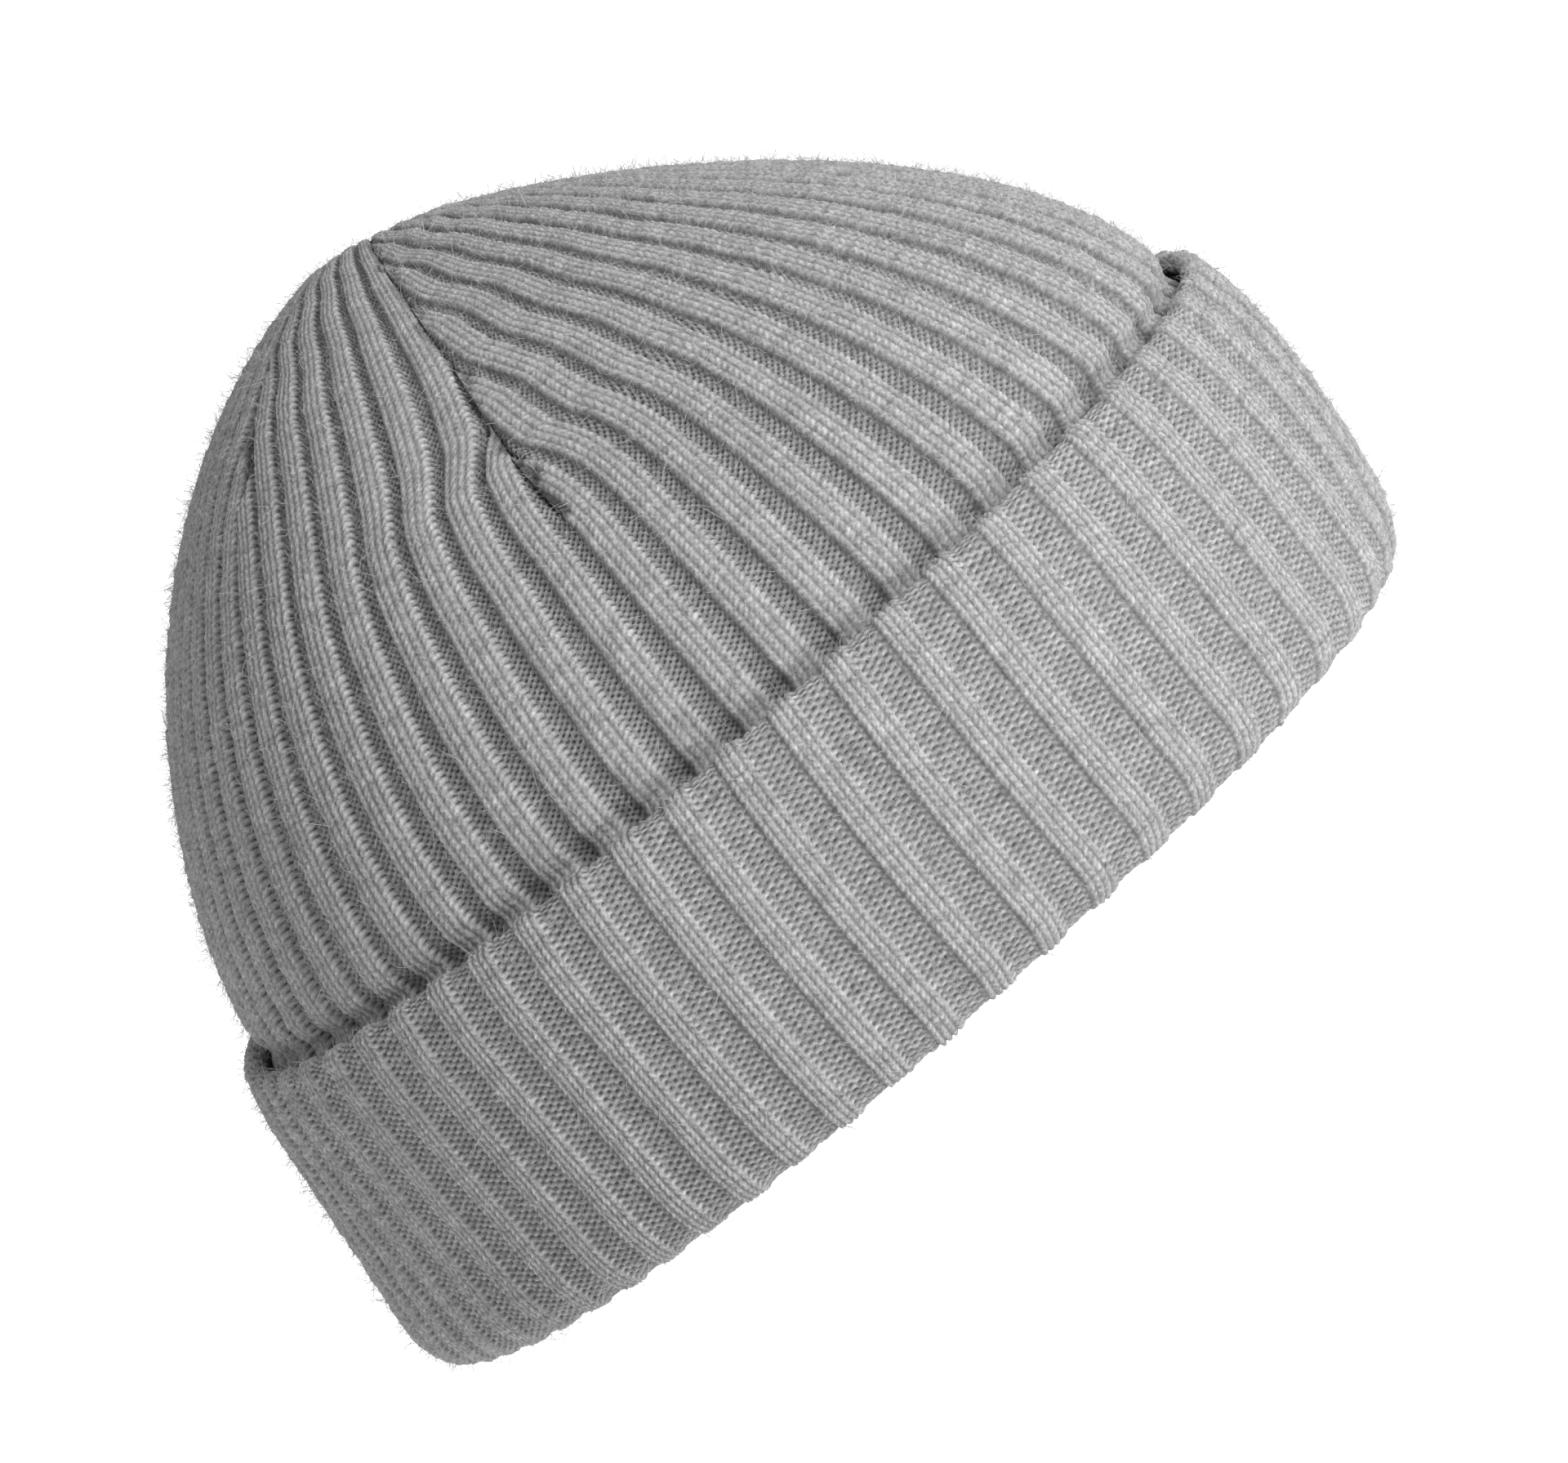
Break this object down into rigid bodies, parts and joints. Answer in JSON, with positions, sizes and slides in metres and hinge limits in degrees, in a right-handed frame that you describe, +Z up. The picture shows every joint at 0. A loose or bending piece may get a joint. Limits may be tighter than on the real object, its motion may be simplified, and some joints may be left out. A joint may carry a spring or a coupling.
{
  "type": "knit beanie",
  "caption": "Close-fitting ribbed knit hat with a domed, dart-shaped crown and a deep turned-up cuff that folds down.",
  "frame": {"origin": "centre of the hat's footprint, on the plane that its fold rests on", "axes": "+X towards the front of the hat, +Y towards the wearer's left, +Z up towards the crown"},
  "size_m": [0.2133, 0.1862, 0.1456],
  "materials": {
    "wall_knit": "heather-grey ribbed knit",
    "crown_knit": "heather-grey ribbed knit",
    "cuff_knit": "heather-grey ribbed knit",
    "seam_yarn": "linked grey yarn",
    "label_satin": "blank woven satin",
    "tack_thread": "sewing thread"
  },
  "bodies": {
    "body": {"side_wall": "wall_knit", "crown_gore_front_left": "crown_knit", "crown_gore_left": "crown_knit", "crown_gore_back_left": "crown_knit", "crown_gore_back_right": "crown_knit", "crown_gore_right": "crown_knit", "crown_gore_front_right": "crown_knit", "dart_seam_front": "seam_yarn", "dart_seam_left": "seam_yarn", "dart_seam_back_left": "seam_yarn", "dart_seam_back": "seam_yarn", "dart_seam_back_right": "seam_yarn", "dart_seam_right": "seam_yarn", "back_seam": "seam_yarn", "crown_closure": "crown_knit", "label_tack_top": "tack_thread", "label_tack_bottom": "tack_thread"},
    "cuff": {"cuff": "cuff_knit", "cuff_fold": "cuff_knit", "cast_on_edge": "cuff_knit", "cuff_seam": "seam_yarn"},
    "label": {"care_label": "label_satin"}
  },
  "joints": [
    {"name": "cuff_turn_down", "type": "slide", "parent": "body", "child": "cuff", "axis": [-0.0995, 0, -0.995], "range_m": [0, 0.044]},
    {"name": "label_flap", "type": "hinge", "parent": "body", "child": "label", "pos_m": [-0.0899, 0, 0.033], "axis": [-0.0995, 0, -0.995], "range_deg": [0, 158]}
  ]
}
